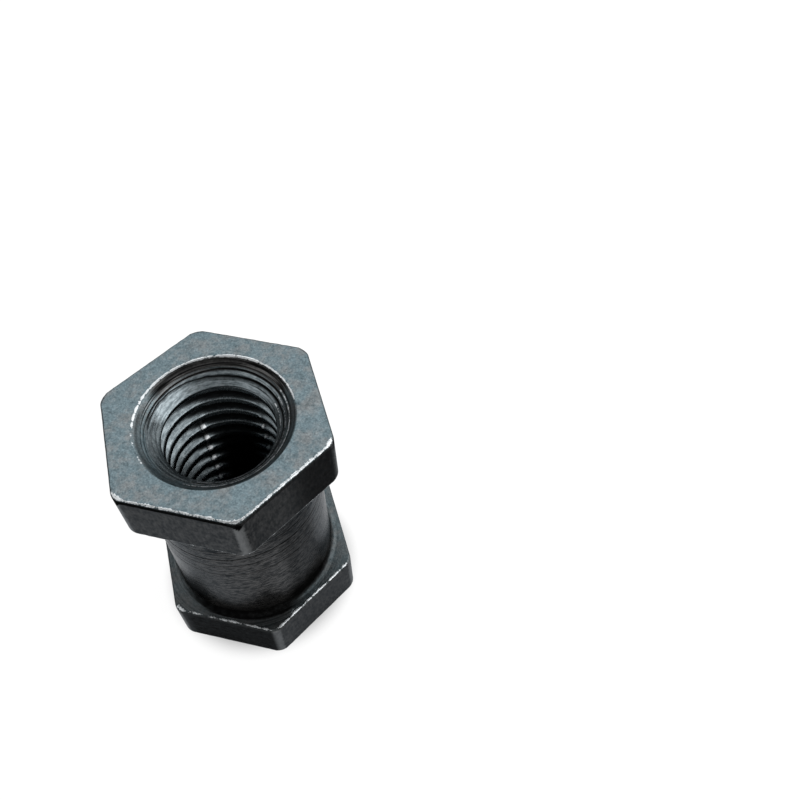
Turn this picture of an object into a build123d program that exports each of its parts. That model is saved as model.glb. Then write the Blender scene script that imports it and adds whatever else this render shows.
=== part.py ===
from build123d import *
from math import cos, radians, sqrt, tan
import os

# Hex insert nut: a through-threaded sleeve turned from hexagon bar, with a hexagon head left at
# each end and a round waist between them. One piece of steel, standing on its lower head.
# Millimetres. The origin is the centre of the lower face, +Z runs up the thread, the corners of
# the hexagon lie on X and two of its flats face along Y.

# Thread: metric coarse, right hand, through the whole nut
thread_diameter = 12.0
thread_pitch = 1.75

# Countersink at both mouths of the thread
mouth_lip = 0.75  # how far the mouth reaches past the thread, each side
mouth_cone_angle = 90.0  # included angle
mouth_edge_radius = 0.15

# Waist between the heads
waist_wall = 1.9  # steel left outside the thread
waist_length = 16.5
waist_fillet = 0.6

# Hexagon heads
head_thickness = 5.5
head_step = 1.1  # how far each flat stands out from the waist
corner_radius = 1.2  # rolled corner of the bar
edge_break = 0.12  # deburred edges of each head

# Turned chamfer that takes the tips of the corners off every face of both heads
corner_trim = 0.25
turned_angle = 30.0
turning_clearance = 0.5  # how far the cone runs on past the corner

# Sizes that follow from those above
thread_height = thread_pitch * sqrt(3) / 2
minor_radius = thread_diameter / 2 - 5 / 8 * thread_height
mouth_radius = thread_diameter / 2 + mouth_lip
waist_radius = thread_diameter / 2 + waist_wall
across_flats = 2 * (waist_radius + head_step)
corner_reach = (across_flats / 2 - corner_radius) / cos(radians(30)) + corner_radius
overall_height = 2 * head_thickness + waist_length
upper_head_base = overall_height - head_thickness
face_radius = corner_reach - corner_trim
turned_radius = corner_reach + turning_clearance
turned_rise = (turned_radius - face_radius) * tan(radians(turned_angle))


def at_radius(edge, radius):
    """True for a round edge of that radius."""
    return edge.geom_type == GeomType.CIRCLE and abs(edge.radius - radius) < 1e-4


with BuildPart() as hex_insert_nut:
    # Both heads, as left by the hexagon bar, with their edges broken
    for head_base in (0, upper_head_base):
        with BuildSketch(Plane.XY.offset(head_base)) as bar_section:
            RegularPolygon(across_flats / 2, side_count=6, major_radius=False)
            fillet(bar_section.vertices(), corner_radius)
        extrude(amount=head_thickness)
    chamfer(hex_insert_nut.edges().filter_by(Axis.Z, reverse=True), edge_break)

    # Turned corners: the cones of a lathe tool on the two faces of each head
    with BuildSketch(Plane.XZ):
        with BuildLine():
            Polyline(
                (0, 0),
                (face_radius, 0),
                (turned_radius, turned_rise),
                (turned_radius, head_thickness - turned_rise),
                (face_radius, head_thickness),
                (face_radius, upper_head_base),
                (turned_radius, upper_head_base + turned_rise),
                (turned_radius, overall_height - turned_rise),
                (face_radius, overall_height),
                (0, overall_height),
                close=True,
            )
        make_face()
    revolve(axis=Axis.Z, mode=Mode.INTERSECT)

    # Waist, running out into each head through a fillet
    with BuildSketch(Plane.XY.offset(head_thickness)):
        Circle(waist_radius)
    extrude(amount=waist_length)
    waist_ends = hex_insert_nut.edges().filter_by(lambda edge: at_radius(edge, waist_radius))
    fillet(waist_ends, waist_fillet)

    # Bore at the thread's minor diameter, countersunk from both faces
    with Locations(Plane.XY.offset(overall_height), Plane.XY.rotated((180, 0, 0))):
        CounterSinkHole(minor_radius, mouth_radius, counter_sink_angle=mouth_cone_angle)
    mouth_edges = hex_insert_nut.edges().filter_by(lambda edge: at_radius(edge, mouth_radius))
    fillet(mouth_edges, mouth_edge_radius)

hex_insert_nut.part.label = "hex_insert_nut"

os.makedirs("parts", exist_ok=True)
export_step(hex_insert_nut.part, "parts/hex_insert_nut.step")
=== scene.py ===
from math import pi, radians, tan

import bpy
import numpy as np
from mathutils import Matrix, Vector


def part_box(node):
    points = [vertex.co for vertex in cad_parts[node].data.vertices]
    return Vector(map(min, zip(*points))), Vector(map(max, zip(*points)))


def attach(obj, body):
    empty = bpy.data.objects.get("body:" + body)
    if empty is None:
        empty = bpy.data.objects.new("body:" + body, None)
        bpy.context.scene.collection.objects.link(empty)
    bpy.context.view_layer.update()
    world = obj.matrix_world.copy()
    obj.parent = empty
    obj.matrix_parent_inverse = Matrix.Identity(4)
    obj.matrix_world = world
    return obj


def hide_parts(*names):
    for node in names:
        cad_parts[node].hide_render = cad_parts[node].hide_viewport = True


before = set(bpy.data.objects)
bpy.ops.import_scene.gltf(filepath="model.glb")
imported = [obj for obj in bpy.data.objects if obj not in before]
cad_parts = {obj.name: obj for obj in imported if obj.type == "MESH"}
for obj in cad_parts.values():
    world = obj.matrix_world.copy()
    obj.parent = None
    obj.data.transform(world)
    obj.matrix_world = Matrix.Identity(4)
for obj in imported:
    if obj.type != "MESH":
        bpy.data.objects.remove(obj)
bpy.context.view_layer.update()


# The nut
# One piece of dark steel turned from rolled hexagon bar: a head left at each end, a round waist
# between them, every face chamfered at the corners and every edge deburred. The hole is drilled,
# countersunk at both ends and tapped right through.

mm = 0.001
bar_low, bar_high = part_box("hex_insert_nut")
across_flats = bar_high.y - bar_low.y
overall_height = bar_high.z
corner_reach = bar_high.x  # from the axis to the outside of a corner
corner_radius = 1.2 * mm
head_thickness = 5.5 * mm
upper_head_base = overall_height - head_thickness
head_step = 1.1 * mm  # how far each flat stands out from the waist
waist_radius = across_flats / 2 - head_step
waist_fillet = 0.6 * mm
fillet_radius = waist_radius + waist_fillet  # of the circle where a head's face meets the fillet
edge_radius = 0.2 * mm  # what deburring leaves on each edge of the heads
corner_trim = 0.25 * mm  # how much of each corner the turned chamfer takes off the face
face_radius = corner_reach - corner_trim
turned_angle = radians(30)

# The surface is a grid: rows up the nut, and columns round it that crowd at the six corners.
# Each point also holds how far each finish shows there, from 0 to 1.
corner_columns = 8
flat_columns = 24
side_columns = corner_columns + flat_columns
columns = 6 * side_columns
side, step = np.divmod(np.arange(columns), side_columns)
turn = 2 * pi * (np.arange(columns) - corner_columns / 2) / columns
finishes = ("faced", "turned", "corner", "edge", "dark", "cone", "thread")


def rows(x, y, z, **finish):
    """Stacks the place and the finishes of some rows of the surface, one point for each column."""
    layers = [x, y, z] + [finish.get(name, 0.0) for name in finishes]
    return np.stack(np.broadcast_arrays(*layers), axis=-1)


def round_rows(radius, z, **finish):
    """Rows of points that lie at a radius from the axis, each column at its own angle."""
    return rows(radius * np.cos(turn), radius * np.sin(turn), z, **finish)


def ramp(x, softness):
    """Nothing below zero and x above it, with a hyperbola in between: half the sum of x and the
    root of x squared plus the softness squared."""
    return (x + np.sqrt(x * x + softness * softness)) / 2


def ease(x):
    """The smooth step from 0 to 1 between x of 0 and 1: three x squared less two x cubed."""
    x = np.clip(x, 0, 1)
    return x * x * (3 - 2 * x)


def bell(x, middle, width):
    """1 at the middle, falling away on both sides as e to the minus square of the distance from
    it over the width."""
    return np.exp(-((x - middle) / width) ** 2)


def wobble(seed, cycles, along=turn):
    """A wavy line round the nut, about 1 high: the mean of a few cosines of random phase, of
    whole numbers of cycles a turn up to the number given."""
    draw = np.random.default_rng(seed)
    counts = draw.integers(1, cycles + 1, 12)
    phases = draw.uniform(0, 2 * pi, 12)
    return np.cos(counts[:, None] * along + phases[:, None]).sum(axis=0) / 3


def patch(middle, half, soft):
    """1 within half of the middle angle round the nut, easing to 0 over the soft angle. Angles
    are in degrees, with corners at 0 and -60 and the flats that the camera sees at -30 and -90."""
    away = np.abs((np.degrees(turn) - middle + 180) % 360 - 180)
    return ease((half + soft - away) / soft)


def bar_outline(inset):
    """The bar's section: an arc round each corner and a straight run along each flat, moved
    inwards by the inset at right angles to the surface."""
    sweep = radians(60) * (np.minimum(step / corner_columns, 1) - 0.5)
    along = np.maximum(step - corner_columns, 0) / flat_columns
    along = along * 2 * (across_flats / 2 - corner_radius) * tan(radians(30))
    corner = side * radians(60)
    arc_centre = corner_reach - corner_radius
    out = corner_radius - inset
    facing = corner + sweep
    x = arc_centre * np.cos(corner) + out * np.cos(facing) - along * np.sin(facing)
    y = arc_centre * np.sin(corner) + out * np.sin(facing) + along * np.cos(facing)
    return x, y


def turned_drop(x, y):
    """How far the turned chamfer lies below a head's face: nothing inside the face radius, then
    rising at the turned angle."""
    return ramp(np.hypot(x, y) - face_radius, 0.04 * mm) * tan(turned_angle)


# Each corner's own columns, most in its middle: a half sine, cut off at 1
on_corner = np.where(step <= corner_columns, np.minimum(1, 1.1 * np.sin(pi * step / corner_columns)), 0.0)

# A painted highlight on the upper mouth's lip on its far side, in three stretches, drawn as lighter metal.
lip_highlight = np.maximum(1.10 * patch(163, 32, 12), 1.18 * patch(110, 24, 16))
lip_highlight = np.maximum(lip_highlight, 0.62 * patch(207, 20, 14)) * (0.98 + 0.12 * wobble(71, 96))

# Painted shade: the faces by the waist are duller and darker than the end faces, less so on two sides that
# the lamps reach.
less_shaded_side = patch(12, 46, 16)
less_shaded_left = patch(-150, 40, 20)
waist_faced = 0.38 + 0.22 * less_shaded_side + 0.08 * less_shaded_left
waist_cone = 0.50 - 0.30 * less_shaded_side - 0.18 * less_shaded_left
waist_shade = 0.43 - 0.26 * less_shaded_side - 0.08 * less_shaded_left


def head_edge(height, facing, by_waist, seed, wear_and_highlight, edge_shade):
    """The rounded edge of a head's face, from the face out to the side: two flat rows, then a
    quarter circle whose radius wavers along the edge and grows at the corners, and the turned
    chamfer wherever that lies lower. Handling has rubbed it, and the rubbed band is painted
    lighter, partly for that rubbing and partly as a highlight; painted shade lies under it."""
    flat_rows = np.array([0.16, 0.07])[:, None] * mm
    sweep = np.concatenate([[0, 0], np.linspace(0, pi / 2, 10)])[:, None]
    worn_down = 1 + (wear_and_highlight if facing > 0 else 0) * 0.35
    radius = edge_radius * worn_down * (1 + 0.13 * wobble(seed, 90)) + 0.16 * mm * on_corner
    inset = radius * (1 - np.sin(sweep))
    inset[:2] = inset[:2] + flat_rows
    drop = radius * (1 - np.cos(sweep))
    x, y = bar_outline(inset)
    drop = drop + ramp(turned_drop(x, y) - drop, 0.02 * mm)
    worn_and_highlit = bell(sweep, radians(24 if facing > 0 else 76), radians(32))
    worn_and_highlit[:2] = np.array([0.0, 0.3])[:, None]
    under = bell(sweep, radians(78), radians(26)) * (facing > 0)
    still_face = np.cos(sweep) ** 2
    return rows(x, y, height - facing * drop, edge=worn_and_highlit * wear_and_highlight,
                corner=np.maximum(on_corner * np.sin(sweep), 0.8 * worn_and_highlit * (facing < 0)),
                faced=still_face * (waist_faced if by_waist else 1),
                cone=still_face * waist_cone * by_waist,
                dark=np.maximum(under * edge_shade, still_face * waist_shade * by_waist))


def head_face(height, facing, by_waist, inner_radius, edge, count):
    """A flat face of a head: each point slides straight from the circle at the face's inner edge
    towards the first row of the head's rounded edge."""
    share = np.concatenate([[0, 0.03], np.linspace(0, 1, count + 1)[1:-1] ** 0.8])[:, None]
    x = inner_radius * np.cos(turn) * (1 - share) + edge[0, :, 0] * share
    y = inner_radius * np.sin(turn) * (1 - share) + edge[0, :, 1] * share
    # Painted shade on the faces by the waist, and on the upper face's inner row the lip's painted
    # highlight.
    in_shade = 0.66 * patch(-64, 28, 22) * ease(1 - share / 0.4) * (1 - less_shaded_side)
    worn_and_highlit = 0.78 * lip_highlight * (share == 0) * (facing > 0) * (not by_waist)
    return rows(x, y, height - facing * turned_drop(x, y), edge=worn_and_highlit,
                faced=waist_faced if by_waist else 1, cone=waist_cone * by_waist,
                dark=(waist_shade + in_shade) * by_waist)


def head_side(lower_end, upper_end, top, flat_darkening, edge_shade):
    """The bar's own surface, straight up between the ends of a head's two edges. Painted shade
    lies under the upper edge, in a line and in a triangle below the corner that the turned
    chamfer cuts, over the darkening given for the flats."""
    x, y = bar_outline(0.0)
    share = np.array([0.02, 0.10, 0.30, 0.50, 0.66, 0.76, 0.82, 0.86, 0.90, 0.94, 0.97])[:, None]
    z = lower_end + (upper_end - lower_end) * share
    below = (top - z) / mm
    from_middle = np.where(step <= corner_columns, np.abs(2 * step / corner_columns - 1), 1.0)
    line = edge_shade * ease((0.58 - below) / 0.14)
    notch = np.maximum(edge_shade, 0.3) * ease((1.25 - 0.75 * from_middle - below) / 0.14) * (from_middle < 1)
    return rows(x, y, z, corner=on_corner, dark=np.clip(np.maximum(flat_darkening, np.maximum(line, notch)), 0, 1))


def head(base, lower_inner, upper_inner, seed, wear_and_highlight, edge_shade, flat_darkening):
    """One head from the inside of its lower face, over its side, to the inside of its upper
    face. The rubbing, the painted highlight on it and the painted shade under it are those of its
    upper edge; its lower edge is half as rubbed and has no painted shade."""
    top = base + head_thickness
    is_lower = base == 0
    half_worn, no_edge_shade = 0.56, 0.0
    face_rows, narrow_face_rows = 8, 4
    lower_edge = head_edge(base, -1, not is_lower, seed, half_worn, no_edge_shade)
    upper_edge = head_edge(top, 1, is_lower, seed + 1, wear_and_highlight, edge_shade)
    lower_rows, upper_rows = (face_rows, narrow_face_rows) if is_lower else (narrow_face_rows, face_rows)
    return np.concatenate([
        head_face(base, -1, not is_lower, lower_inner, lower_edge, lower_rows),
        lower_edge,
        head_side(lower_edge[-1, :, 2], upper_edge[-1, :, 2], top, flat_darkening, edge_shade),
        upper_edge[::-1],
        head_face(top, 1, is_lower, upper_inner, upper_edge, upper_rows)[::-1],
    ])


def waist():
    """The waist between the two fillets: a cylinder less a bell curve for each fine groove that
    the turning tool left, closest together below the upper head. Painted shade darkens its foot,
    its fillets, its grooves and a strip on its right."""
    sweep = np.linspace(0, pi / 2, 8)[1:-1, None]
    still_face = np.cos(sweep) ** 2
    # The fillets are painted dark, as shade in the crease, less on the less shaded side.
    lower = round_rows(fillet_radius - waist_fillet * np.sin(sweep),
                       head_thickness + waist_fillet * (1 - np.cos(sweep)),
                       turned=1.0, faced=waist_faced * still_face, cone=waist_cone * still_face,
                       dark=(0.34 + 0.56 * patch(-60, 44, 34)) * (1 - 0.65 * less_shaded_side * still_face))
    # Each groove's distance below the upper head in millimetres, its depth in thousandths of
    # one, and its width in millimetres
    grooves = ((3.25, 12, 0.08), (4.70, 22, 0.09), (5.15, 10, 0.07),
               (5.95, 16, 0.10), (6.90, 10, 0.09), (7.66, 14, 0.10))
    across = np.array([-2.2, -1.3, -0.8, -0.4, 0.0, 0.4, 0.8, 1.3, 2.2])
    z = [upper_head_base - (below + across * width) * mm for below, depth, width in grooves]
    z = z + [np.linspace(head_thickness + waist_fillet, upper_head_base - waist_fillet, 26)]
    z = np.sort(np.concatenate(z))[:, None]
    tilted = z + 0.04 * mm * np.cos(turn + 1.0)
    marks = np.zeros_like(tilted)
    for below, depth, width in grooves:
        marks = marks + depth * 0.001 * mm * bell((upper_head_base - tilted) / mm, below, width)
    # Painted shade in the tool's grooves, in a strip on the right and towards the foot.
    in_marks = marks / (0.03 * mm) * (1 - 0.55 * patch(-4, 24, 22))
    at_foot = 0.42 * ease((10.2 * mm - z) / (3.8 * mm)) + 0.35 * ease((7.6 * mm - z) / (1.5 * mm))
    darkening = in_marks + 0.42 * patch(-26, 9, 14) + at_foot * patch(-47, 42, 24)
    barrel = round_rows(waist_radius - marks, z, turned=1.0, dark=np.clip(darkening, 0, 1))
    upper = lower[::-1].copy()
    upper[..., 2] = upper_head_base + head_thickness - upper[..., 2]
    return np.concatenate([lower, barrel, upper])


# The thread is metric coarse, right hand. Its crests are a little wider and stand a little
# further in than the nominal ones.
thread_pitch = 1.75 * mm
thread_diameter = 12.0 * mm
minor_radius = 4.86 * mm
crest_flat = 0.54 * mm
crest_rounding, root_rounding = 0.15 * mm, 0.05 * mm
mouth_radius = thread_diameter / 2 + 0.75 * mm
lip_radius = 0.15 * mm
mouth_edge = mouth_radius + lip_radius
mouth_depth = 1.95 * mm  # a little more than the cone's, where the rows start to follow the thread
far_side = radians(125)  # the part of the bore that faces the camera
crest_depth = 2.33 * mm  # of the first whole crest below the upper face, at the crest angle
crest_angle = radians(104)


def thread_profile(along):
    """Radius of the tapped surface by its distance along the axis from the middle of a crest:
    the minor radius on the crest, flanks at 30 degrees, and a flat at the major radius."""
    away = np.abs((along / thread_pitch + 0.5) % 1 - 0.5) * thread_pitch
    up_flank = (away - crest_flat / 2) * np.sqrt(3)
    depth = thread_diameter / 2 - minor_radius
    return minor_radius + ramp(up_flank, crest_rounding) - ramp(up_flank - depth, root_rounding)


def crest_height(angle):
    """Height of a crest at an angle round the bore, one pitch a turn, right hand."""
    return overall_height - crest_depth + thread_pitch * (angle - crest_angle) / (2 * pi)


def mouth(depths, top):
    """The countersunk mouth, in rows from the face inwards: the lip's arc, then a 45 degree cone
    with the rings of its cutter, and the tapped surface wherever that lies deeper."""
    depth = depths[:, None]
    deep = depth / mm
    cycles = depths / mm * 2 * pi  # for a wavy line with whole numbers of waves a millimetre
    z = overall_height - depth if top else depth

    def ring(place, width):
        """A ring round the cone: a bell curve across it, at a depth in millimetres."""
        return bell(deep, place, width)

    # The cutter's rings: fine ones that its chatter left, two scores and one deeper groove
    scores = ring(0.42, 0.03) + ring(0.56, 0.03)
    chatter = wobble(41, 9, cycles)[:, None] * ease((deep - 0.12) / 0.1) * ease((1.0 - deep) / 0.1)
    rings = (0.003 + 0.009 * patch(-25, 75, 20)) * chatter + 0.010 * scores + 0.060 * ring(0.82, 0.045)

    # The line where the cutter closed the thread's first turn, from about 1 mm deep to 1.3 mm
    clockwise = (far_side - turn + pi) % (2 * pi) - pi
    start = 1.01 * mm + 0.31 * mm * ease((clockwise + radians(45)) / radians(75))
    start = start + 0.012 * mm * wobble(31, 40)
    shown = ease((clockwise + radians(80)) / radians(30)) * ease((radians(130) - clockwise) / radians(30))
    width = 0.045 * mm + 0.06 * mm * ease((clockwise + radians(10)) / radians(30))
    line = bell(depth, start, width) * shown * top
    line_depth = 0.14 * mm

    # A groove of the thread is open where its middle lies below the cone
    along = z - crest_height(turn)
    whole_turns = (np.round(along / thread_pitch - 0.5) + 0.5) * thread_pitch
    groove_depth = overall_height - whole_turns - crest_height(turn)
    if not top:
        groove_depth = overall_height - groove_depth
    is_open = ease((groove_depth / mm - 1.82) / 0.5)
    tapped = minor_radius + (thread_profile(along) - minor_radius) * is_open

    radius = mouth_radius - depth + ramp(lip_radius * 0.55 - depth, 0.04 * mm) + rings * mm
    radius = radius + ramp(tapped - radius, 0.02 * mm)
    radius = radius + line_depth * line

    # Bright: painted highlights on the lip and on three rings near the camera. Dark: painted shade
    # in the scores, the deeper groove, the thread's closing line and between the bright rings; and,
    # plainly darker, a band near the lip on the far side and blotches at both sides of the cone
    near_right = patch(-22, 62, 24)
    bright = ring(0.02, 0.055) * lip_highlight + 1.1 * ring(0.04, 0.045) * patch(66, 28, 20)
    bright = bright + 0.84 * (ring(0.64, 0.06) + ring(1.02, 0.06) + ring(1.50, 0.06)) * near_right
    dark = 0.85 * scores * patch(138, 42, 20) + ring(0.82, 0.05) * (0.3 + 0.7 * patch(98, 84, 16)) + line
    dark = dark + 0.70 * ring(0.26, 0.16) * patch(120, 38, 24)
    dark = dark + 0.75 * (ring(0.47, 0.08) + ring(1.25, 0.09) + ring(1.74, 0.07)) * near_right
    scored = ease((wobble(53, 8, cycles)[:, None] - 0.1) / 0.5) * ease((deep - 0.12) / 0.06)
    scored_sides = 0.44 * patch(-105, 62, 24) + 0.7 * patch(0, 66, 24) * (1 - 0.5 * near_right)
    dark = dark + scored * ease((1.75 - deep) / 0.2) * scored_sides
    # Painted light: over the side that the lamps light, less of the cone's darker finish.
    less_cone_where_lit = 1 - patch(-76, 110, 14) * (0.72 + 0.14 * ease((deep - 0.5) / 0.1))
    return round_rows(radius, z, edge=np.clip(bright, 0, 1), dark=np.clip(dark, 0, 1), faced=1.0,
                      cone=ease((deep - 0.02) / 0.08) * less_cone_where_lit * (1 - 0.4 * ring(0.68, 0.04)),
                      thread=ease((deep - 0.85) / 0.08))


lip_rows = np.array([0.0, 0.02, 0.045, 0.07]) * mm
cone_rows, thread_start_rows = np.linspace(0.10, 1.0, 36) * mm, np.linspace(1.04, 1.95, 22) * mm
upper_mouth = mouth(np.concatenate([lip_rows, cone_rows, thread_start_rows]), True)
lower_mouth = mouth(np.concatenate([lip_rows, np.linspace(0.1, 1.95, 24) * mm]), False)[::-1]

# Rubbing and painted highlight of each head's upper edge, painted shade under it, and darkening of its
# flats, most on the two nearest flats; on the upper head that darkening is painted shade.
near_flats = patch(-60, 62, 10)
left_flat = patch(-90, 24, 6)
upper_wear_and_highlight = (0.15 + 0.88 * near_flats) * (0.94 + 0.11 * wobble(61, 110))
upper_edge_shade = 0.25 + 0.75 * near_flats - 0.35 * patch(-28, 24, 8)
upper_flat_shade = 0.32 * patch(-30, 26, 6) + 0.36 * patch(-8, 10, 18)
lower_wear_and_highlight = 0.15 + 0.70 * left_flat + 0.95 * patch(-119, 3, 6) + 0.86 * patch(-32, 22, 10)
lower_wear_and_highlight = np.clip(lower_wear_and_highlight, 0, 1.1) * (0.93 + 0.20 * wobble(62, 70))
lower_edge_shade = 0.15 + 0.40 * left_flat - 0.10 * patch(-30, 26, 6)
lower_flat_darkening = 0.15 + 0.55 * patch(-88, 20, 10)
shell = np.concatenate([
    lower_mouth,
    head(0.0, mouth_edge, fillet_radius, 3, lower_wear_and_highlight, lower_edge_shade, lower_flat_darkening),
    waist(),
    head(upper_head_base, fillet_radius, mouth_edge, 7, upper_wear_and_highlight, upper_edge_shade, upper_flat_shade),
    upper_mouth,
])

# Rows of the thread run along the helix, so that a crest's edges lie on them. Going once round
# leads one pitch higher, to the row that lies one pitch of rows before.
across_pitch = np.array([0, 0.15, 0.21, 0.27, 0.33, 0.41, 0.55, 0.80])
across_pitch = np.concatenate([across_pitch, [0.875], 1.75 - across_pitch[:0:-1]]) * mm
pitch_rows = len(across_pitch)
pitches = int((overall_height - 2 * mouth_depth) / thread_pitch) + 3
below_crest = (across_pitch + thread_pitch * np.arange(pitches)[:, None]).ravel()[:, None]
climb = thread_pitch * np.arange(columns) / columns
helix_z = crest_height(turn[0]) + thread_pitch + climb - below_crest
helix_depth = (overall_height - helix_z) / mm

# Small burrs stand on the crests' upper edges in two rows down the bore, painted light as glints.
# Painted shade darkens the grooves, most on the unlit side, and a strip of the far wall.
burr_height = 0.08 * mm
above_crest = (thread_pitch - np.tile(across_pitch, pitches)[:, None]) / mm
chip = (patch(139, 0.3, 5.5) + 0.9 * patch(73, 0.2, 3.5)) * ease((helix_depth - 4.5) / 2)
burr_and_glint = chip * ease((0.30 + 0.40 * chip - above_crest) / 0.12) * ease((above_crest - 0.1) / 0.08)
helix_radius = thread_profile(below_crest) - burr_height * burr_and_glint
in_groove = (helix_radius - minor_radius) / mm
unlit = patch(105, 18, 46)
groove_shade = (0.75 + 0.15 * unlit) * ease((in_groove - 0.52 + 0.46 * unlit) / 0.26)
groove_shade = np.maximum(groove_shade, patch(107, 13, 18) * (0.42 + 0.45 * ease((helix_depth - 7) / 3)))
helix = round_rows(helix_radius, helix_z, thread=1.0, dark=groove_shade, edge=1.2 * burr_and_glint)

# Past each mouth's last row, the helix closes up on that row.
shell_index = np.arange(shell.shape[0] * columns).reshape(-1, columns)
helix_index = shell_index.size + np.arange(helix_z.size).reshape(-1, columns)
near = 0.01 * mm
helix_index = np.where(helix_z > overall_height - mouth_depth - near, shell_index[-1], helix_index)
helix_index = np.where(helix_z < mouth_depth + near, shell_index[0], helix_index)


def quads(index, beyond):
    """Corners of the cells between rows of points, and from the last column to the points beyond
    it, wound so that they face out of the steel."""
    right = np.concatenate([index[:, 1:], beyond[:, None]], axis=1)
    return np.stack([index[:-1], right[:-1], right[1:], index[1:]], axis=-1).reshape(-1, 4)


one_pitch_up = np.concatenate([np.full(pitch_rows, shell_index[-1, 0]), helix_index[:-pitch_rows, 0]])
cells = np.concatenate([quads(shell_index, shell_index[:, 0]), quads(helix_index, one_pitch_up)])
triangles = np.concatenate([cells[:, [0, 1, 2]], cells[:, [0, 2, 3]]])
a, b, c = triangles.T
triangles = triangles[(a != b) & (b != c) & (c != a)]
used, triangles = np.unique(triangles, return_inverse=True)
points = np.concatenate([shell.reshape(-1, 3 + len(finishes)), helix.reshape(-1, 3 + len(finishes))])[used]
triangles = triangles.reshape(-1, 3)

mesh = bpy.data.meshes.new("nut")
mesh.from_pydata(points[:, :3].tolist(), [], triangles.tolist())
mesh.polygons.foreach_set("use_smooth", np.ones(len(triangles), bool))
for name, amount in zip(finishes, points[:, 3:].T):
    layer = mesh.attributes.new(name, "FLOAT", "POINT")
    layer.data.foreach_set("value", amount.astype(np.float32))
mesh.update()
nut = bpy.data.objects.new("nut_body", mesh)
bpy.context.scene.collection.objects.link(nut)


class Wire:
    """One socket of a material. Sums and products of wires and numbers add the Math nodes for
    them, and add() makes any other node: its settings first, then its sockets."""

    def __init__(self, tree, socket=None):
        self.tree = tree
        self.socket = socket

    def add(self, kind, settings=None, sockets=None, output=0):
        """A new node with those settings, and a value or a wire for each socket named or counted."""
        node = self.tree.nodes.new(kind)
        for name, value in (settings or {}).items():
            setattr(node, name, value)
        for name, value in (sockets or {}).items():
            if isinstance(value, Wire):
                self.tree.links.new(value.socket, node.inputs[name])
            else:
                colour = node.inputs[name].type == "RGBA"
                node.inputs[name].default_value = (*value, 1.0) if colour else value
        return Wire(self.tree, node.outputs[output] if node.outputs else None)

    def math(self, operation, *values):
        """That operation on numbers, each of them a wire or a plain value."""
        return self.add("ShaderNodeMath", {"operation": operation}, dict(enumerate(values)))

    def __add__(self, other):
        return self.math("ADD", self, other)

    def __sub__(self, other):
        return self.math("SUBTRACT", self, other)

    def __rsub__(self, other):
        return self.math("SUBTRACT", other, self)

    def __mul__(self, other):
        return self.math("MULTIPLY", self, other)

    __radd__ = __add__
    __rmul__ = __mul__

    def between(self, low, high):
        """0 where this wire is at low, 1 at high, smooth in between."""
        return self.add("ShaderNodeMapRange", {"interpolation_type": "SMOOTHSTEP"},
                        {"Value": self, "From Min": low, "From Max": high})

    def tint(self, low, high):
        """The low colour where this wire is 0 and the high one where it is 1."""
        return self.add("ShaderNodeMix", {"data_type": "RGBA"}, {0: self, 6: low, 7: high}, output=2)

    def vector(self, operation, other, output=0):
        """This vector put together with another one by that operation."""
        return self.add("ShaderNodeVectorMath", {"operation": operation}, {0: self, 1: other}, output)

    def scaled(self, factor):
        """This colour times a number."""
        return self.add("ShaderNodeVectorMath", {"operation": "SCALE"}, {0: self, "Scale": factor})

    def noise(self, size, detail=3.0, roughness=0.55, seed=0.0):
        """Soft noise about 0.5, with features of that size on this vector."""
        return self.add("ShaderNodeTexNoise", {"noise_dimensions": "4D"}, {
            "Vector": self, "W": seed, "Scale": 1 / size, "Detail": detail, "Roughness": roughness})


steel = bpy.data.materials.new("dark_steel")
steel.use_nodes = True
steel.node_tree.nodes.clear()
wires = Wire(steel.node_tree)
place = wires.add("ShaderNodeTexCoord", output=3)
finish = {name: wires.add("ShaderNodeAttribute", {"attribute_name": name}, output=2) for name in finishes}

# Patterns: speckles in three sizes, rings about the axis, the turning tool's lines round the
# waist, which are strongest below the upper head, and the bar's drawing lines along it.
patches = place.noise(1.5 * mm, 3.0, 0.5, seed=1.0)
mottle = place.noise(0.45 * mm, 4.0, 0.6, seed=2.0)
grain = place.noise(0.14 * mm, 2.0, 0.5, seed=3.0)
from_axis = place.vector("MULTIPLY", (1, 1, 0)).vector("LENGTH", (0, 0, 0), output=1)
rings_place = wires.add("ShaderNodeCombineXYZ", None, {"X": from_axis})
rings_place = rings_place.vector("ADD", place.vector("MULTIPLY", (0.03, 0.03, 0)))
rings = rings_place.noise(0.13 * mm, 3.0, 0.6, seed=4.0)
lathe = place.vector("MULTIPLY", (0.22, 0.22, 1.0)).noise(0.12 * mm, 4.0, 0.6, seed=5.0)
turning = place.vector("MULTIPLY", (0.05, 0.05, 1.0)).noise(0.08 * mm, 2.0, seed=7.0)
height_up = wires.add("ShaderNodeSeparateXYZ", None, {"Vector": place}, output=2)
turning_zone = height_up.between(16 * mm, 19 * mm)
brushed = place.vector("MULTIPLY", (1.0, 1.0, 0.35)).noise(0.2 * mm, 3.0, seed=6.0)

# Colours of the finishes, each between its darkest and its lightest tone
faced_tones = (0.132, 0.179, 0.199), (0.160, 0.177, 0.183)
bar_tones = (0.016, 0.016, 0.016), (0.054, 0.053, 0.052)
turned_tones = (0.016, 0.016, 0.016), (0.086, 0.084, 0.083)
cone_tones = (0.010, 0.010, 0.010), (0.122, 0.121, 0.120)
thread_tones = (0.086, 0.105, 0.115), (0.255, 0.293, 0.310)
rubbed_colour = (0.115, 0.118, 0.120)
bare_and_highlight_colour = (0.72, 0.75, 0.77)
darkening_colour = (0.003, 0.003, 0.003)

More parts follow.
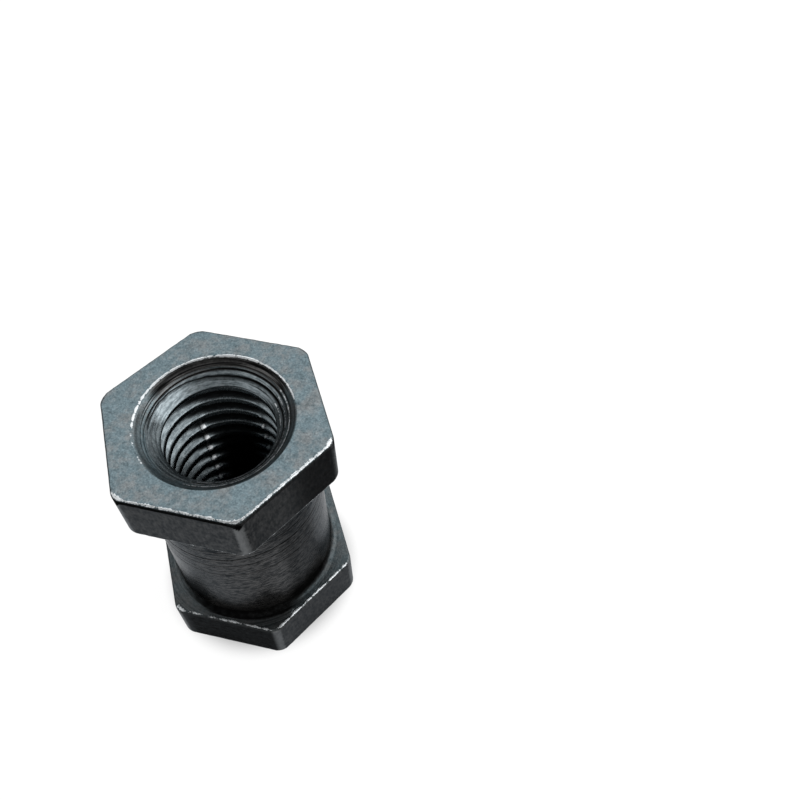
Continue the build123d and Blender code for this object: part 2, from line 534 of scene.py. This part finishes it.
faced_colour = (patches * 0.6 + mottle * 0.4).between(0.42, 0.64).tint(*faced_tones)
faced_colour = faced_colour.scaled(grain * 1.7 + mottle * 1.2 - 0.45)
bar_colour = (mottle * 0.6 + brushed * 0.4).between(0.36, 0.64).tint(*bar_tones)
rubbed = (finish["corner"] * 0.9 + mottle * 1.0 + grain * 0.6).between(0.95, 1.60)
bar_colour = rubbed.tint(bar_colour, rubbed_colour).scaled(0.6 + brushed * 0.8)
turned_colour = (lathe * 0.9 + mottle * 0.1).between(0.38, 0.62).tint(*turned_tones)
turned_colour = turned_colour.scaled(1 - turning.between(0.49, 0.58) * turning_zone * 0.9)
cone_colour = rings.between(0.42, 0.60).tint(*cone_tones).scaled(0.5 + grain * 1.0)
thread_colour = (rings * 0.45 + lathe * 0.55).between(0.38, 0.62).tint(*thread_tones)
thread_colour = thread_colour.scaled(0.6 + grain * 0.8)

# The bar's own skin lies under the rest, lighter metal over them on rubbed edges and as painted highlights
# and glints, and the darkening over all, most of it painted shade.
colour = finish["turned"].tint(bar_colour, turned_colour)
colour = finish["faced"].tint(colour, faced_colour)
colour = finish["cone"].tint(colour, cone_colour)
colour = finish["thread"].tint(colour, thread_colour)
bare_and_highlight = (finish["edge"] + mottle * 1.2 + grain * 1.2).between(1.77, 2.03)
colour = bare_and_highlight.tint(colour, bare_and_highlight_colour)
blotches = 0.6 + mottle * 0.8 * (1 - finish["thread"]) + finish["thread"] * 0.4
darkening = (finish["dark"] * blotches).between(0.0, 1.0)
colour = darkening.tint(colour, darkening_colour)

height = (grain * 0.5 + mottle * 0.8) * (1 - finish["thread"] * 0.8) + finish["cone"] * rings * 2.2
height = height + finish["turned"] * (lathe - turning * turning_zone)
bump = wires.add("ShaderNodeBump", None, {"Strength": 0.3, "Distance": 0.03 * mm, "Height": height})
roughness = 0.30 + grain * 0.10 - finish["turned"] * 0.07 - finish["thread"] * 0.08
roughness = roughness + finish["cone"] * 0.06 + bare_and_highlight * 0.06
shader = wires.add("ShaderNodeBsdfPrincipled", None, {
    "Base Color": colour,
    "Metallic": 1 - darkening,
    "Roughness": roughness,
    "Specular IOR Level": 0.0,
    "Specular Tint": (0.54, 0.56, 0.58),
    "Normal": bump,
})
wires.add("ShaderNodeOutputMaterial", None, {"Surface": shader})
mesh.materials.append(steel)

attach(nut, "root")
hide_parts("hex_insert_nut")


# The floor
# A plain pale sheet under the nut. What the camera and reflections see of it is lifted to white
# by a little light of its own, from just outside the nut's foot, so that the nut's shadow stays;
# the floor left unlifted close round the foot is a painted shadow.
floor_reach = 3.0
floor_grey = (0.38, 0.38, 0.38)
lift = 0.62  # share of the floor's own light in what the camera sees
# Inside these radii the floor is left darker, a painted shadow round the nut's foot, in view and in
# reflections.
shadow_radius, lit_radius = 7 * mm, 11 * mm  # from the nut's axis, where the lift starts and is full
floor_mesh = bpy.data.meshes.new("floor")
floor_mesh.from_pydata([(-floor_reach, -floor_reach, 0), (floor_reach, -floor_reach, 0),
                        (floor_reach, floor_reach, 0), (-floor_reach, floor_reach, 0)], [], [(0, 1, 2, 3)])
floor = bpy.data.objects.new("floor", floor_mesh)
bpy.context.scene.collection.objects.link(floor)
card = bpy.data.materials.new("pale_card")
card.use_nodes = True
card.node_tree.nodes.clear()
floor_wires = Wire(card.node_tree)
seen = floor_wires.add("ShaderNodeLightPath", output="Is Camera Ray")
seen = seen + floor_wires.add("ShaderNodeLightPath", output="Is Glossy Ray")
seen = seen + floor_wires.add("ShaderNodeLightPath", output="Is Transmission Ray")
floor_place = floor_wires.add("ShaderNodeTexCoord", output=3)
from_foot = floor_place.vector("LENGTH", (0, 0, 0), output=1)
lifted = seen * from_foot.between(shadow_radius, lit_radius) * lift
surface = floor_wires.add("ShaderNodeBsdfDiffuse", None, {"Color": floor_grey})
glow = floor_wires.add("ShaderNodeEmission", None, {"Color": (1, 1, 1), "Strength": 1.5})
both = floor_wires.add("ShaderNodeMixShader", None, {0: lifted, 1: surface, 2: glow})
floor_wires.add("ShaderNodeOutputMaterial", None, {"Surface": both})
floor_mesh.materials.append(card)


# The light
# Plain soft studio light in an almost dark room: one large soft box high behind the nut, three
# at its right, one at its left, and a long low one in front that the edges mirror.
world = bpy.data.worlds.new("room")
bpy.context.scene.world = world
world.use_nodes = True
world.node_tree.nodes["Background"].inputs["Color"].default_value = (1, 1, 1, 1)
world.node_tree.nodes["Background"].inputs["Strength"].default_value = 0.02


def soft_box(name, azimuth, elevation, distance, width, height, brightness):
    """A rectangular lamp facing the nut from that direction, with that brightness of its face."""
    light = bpy.data.lights.new(name, "AREA")
    light.shape = "RECTANGLE"
    light.size, light.size_y = width, height
    light.energy = brightness * pi * width * height
    lamp = bpy.data.objects.new(name, light)
    a, e = radians(azimuth), radians(elevation)
    toward = Vector((np.cos(a) * np.cos(e), np.sin(a) * np.cos(e), np.sin(e)))
    lamp.location = toward * distance
    lamp.rotation_euler = toward.to_track_quat("Z", "Y").to_euler()
    lamp.visible_camera = False
    bpy.context.scene.collection.objects.link(lamp)


soft_box("back_box", 125, 55, 1.2, 1.6, 1.2, 1.45)
soft_box("right_low_box", 8, 25, 1.2, 1.1, 0.5, 2.9)
soft_box("right_high_box", 15, 50, 1.2, 1.5, 0.6, 1.8)
soft_box("right_far_box", 68, 22, 1.2, 0.9, 1.0, 1.15)
soft_box("left_box", 213, 27, 1.2, 1.3, 0.8, 1.15)
soft_box("front_box", -72, 35, 1.2, 1.7, 0.42, 1.0)


# The camera
# It stands over the nut as the photograph's did, 35 degrees round to the right of the front
# flat and looking 54 degrees down, worked out from the outline of both heads.
camera_data = bpy.data.cameras.new("camera")
camera_data.sensor_width = 36.0
camera_data.lens = 37.11
camera = bpy.data.objects.new("camera", camera_data)
camera.location = (0.02450, -0.03473, 0.08316)
image_right = Vector((0.97428, 0.22500, -0.01248))
image_down = Vector((0.17371, -0.78519, -0.59440))
looking = image_right.cross(image_down)
camera.rotation_euler = Matrix((image_right, -image_down, -looking)).transposed().to_euler()
camera_data.clip_start, camera_data.clip_end = 0.001, 50
bpy.context.scene.collection.objects.link(camera)
bpy.context.scene.camera = camera
bpy.context.scene.view_settings.view_transform = "Standard"
